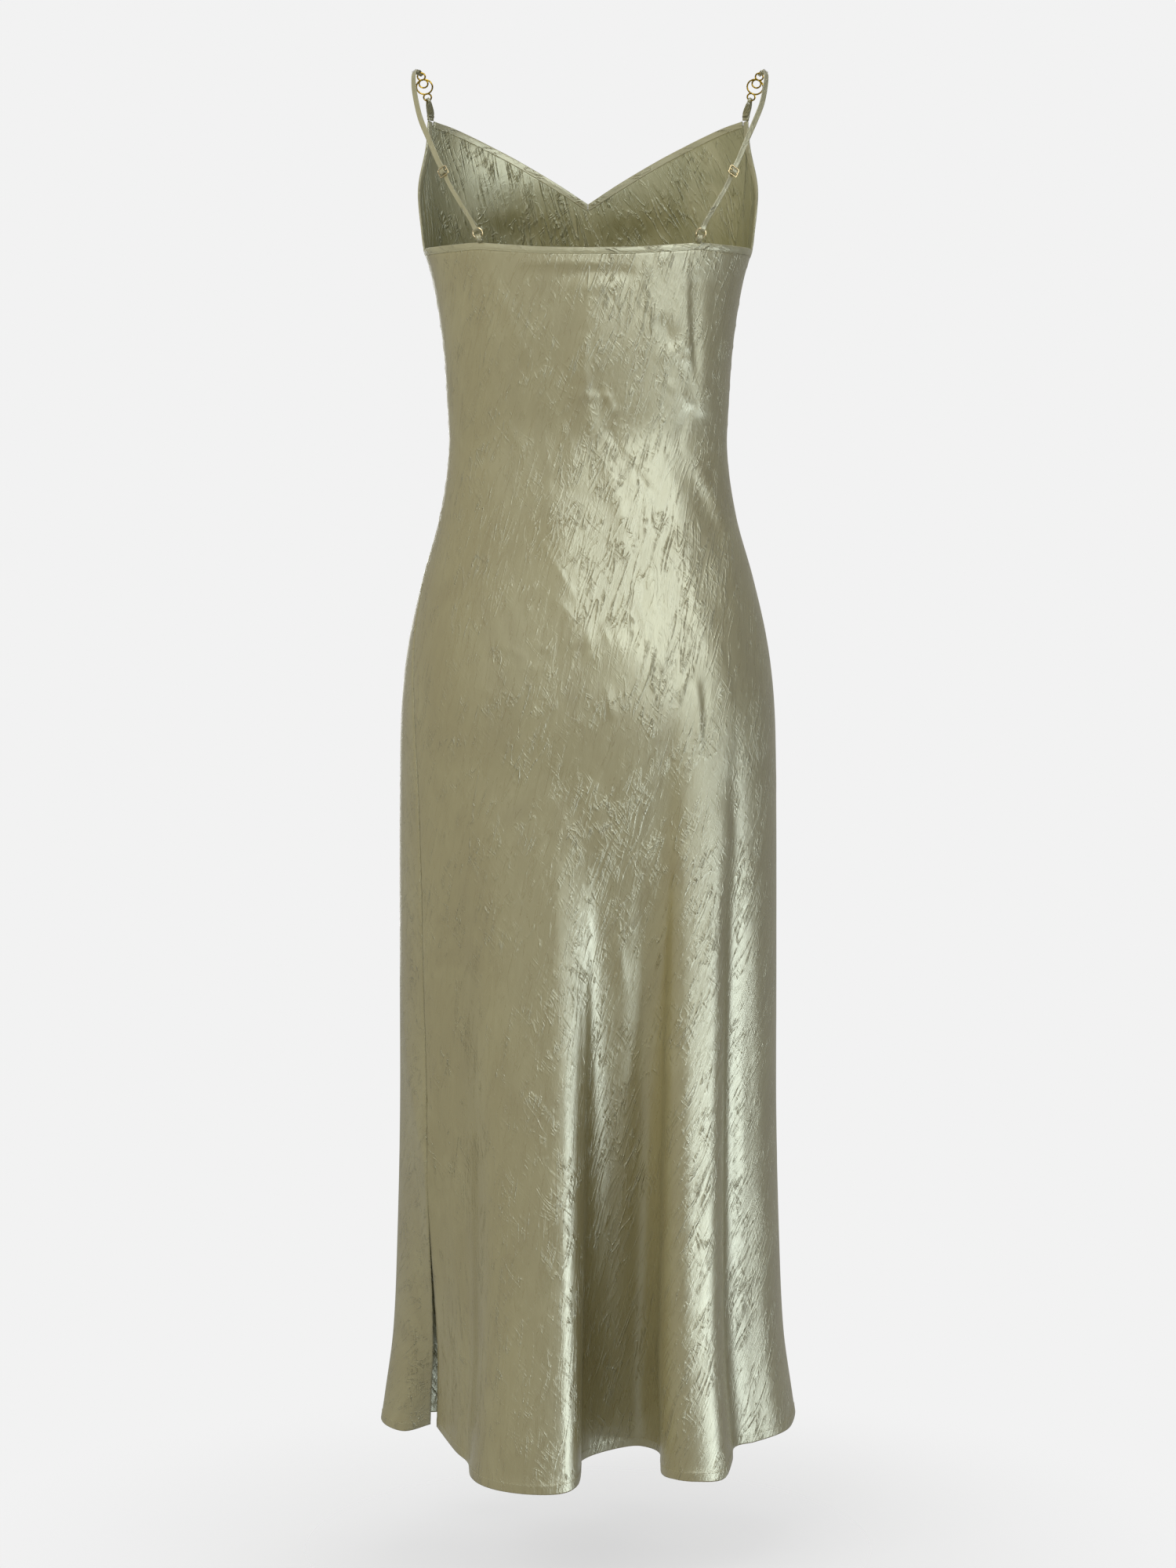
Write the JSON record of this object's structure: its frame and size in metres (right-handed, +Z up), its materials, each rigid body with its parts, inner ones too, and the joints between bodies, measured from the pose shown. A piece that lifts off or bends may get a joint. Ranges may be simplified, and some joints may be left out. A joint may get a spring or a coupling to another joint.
{
  "type": "slip dress",
  "caption": "Long bias-cut slip dress with a V neck, low straight back, thin adjustable straps and a side slit, hollow in its worn shape.",
  "frame": {"origin": "midway between the tops of the two shoulder straps, at the height where a wearer's shoulders carry them", "axes": "+Z up to the straps, +Y towards the front of the dress, +X towards the wearer's right"},
  "size_m": [0.3775, 0.3476, 1.2434],
  "materials": {
    "satin": "bias-cut satin, soft sheen",
    "satin_strip": "the same satin cut in narrow folded strips",
    "gold_wire": "polished antique gold plate",
    "pale_gold_wire": "polished pale gold plate"
  },
  "bodies": {
    "root": {"front_panel": "satin", "back_panel": "satin", "neck_binding_left": "satin_strip", "neck_binding_right": "satin_strip", "armhole_binding_left": "satin_strip", "armhole_binding_right": "satin_strip", "back_neck_binding": "satin_strip", "front_strap_left": "satin_strip", "front_strap_right": "satin_strip", "back_strap_left": "satin_strip", "back_strap_right": "satin_strip", "strap_tab_left": "satin_strip", "strap_tab_right": "satin_strip", "strap_link_left": "gold_wire", "strap_link_right": "gold_wire", "strap_slider_left": "pale_gold_wire", "strap_slider_right": "pale_gold_wire", "strap_ring_left": "pale_gold_wire", "strap_ring_right": "pale_gold_wire"}
  },
  "joints": []
}
